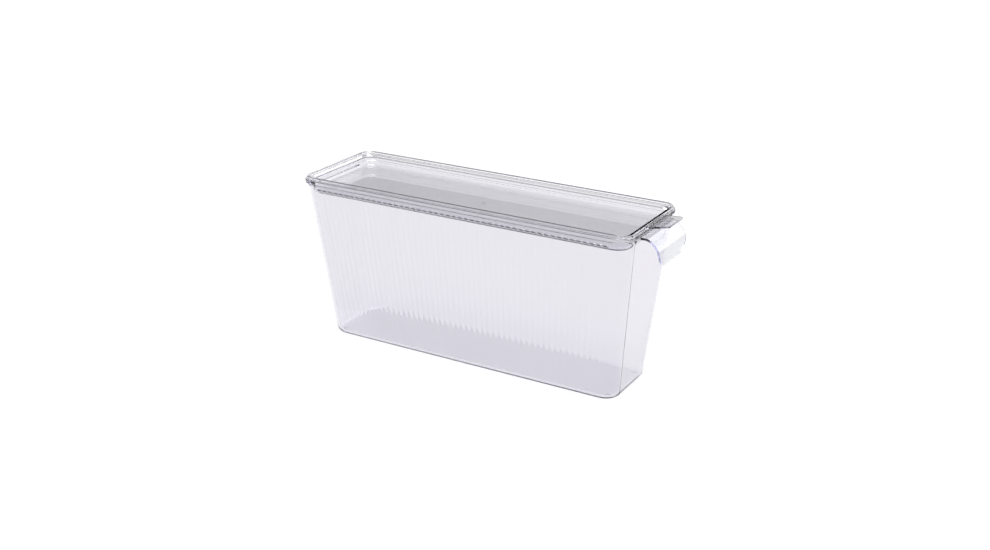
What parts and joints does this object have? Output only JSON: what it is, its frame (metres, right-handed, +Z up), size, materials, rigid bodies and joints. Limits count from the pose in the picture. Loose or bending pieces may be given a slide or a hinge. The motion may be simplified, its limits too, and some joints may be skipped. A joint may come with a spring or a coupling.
{
  "type": "fridge drawer organizer",
  "caption": "Long narrow clear fridge box with tapered fluted walls, a rolled hood handle on the front and a recessed lift-off lid with a pull tab.",
  "frame": {"origin": "middle of the flat underside of the box", "axes": "+Z up, +Y along the box away from the handle, +X across the width; the handle and the lid's pull tab point to -Y"},
  "size_m": [0.0946, 0.3175, 0.1453],
  "materials": {
    "box_plastic": "clear moulded, polished, faint violet tint at the edges",
    "lid_plastic": "clear moulded, polished, faint violet tint at the edges"
  },
  "bodies": {
    "box": {"box": "box_plastic"},
    "lid": {"lid": "lid_plastic"}
  },
  "joints": [
    {"name": "lid_lift", "type": "slide", "parent": "box", "child": "lid", "axis": [0, 0, 1], "range_m": [0, 0.12]}
  ]
}
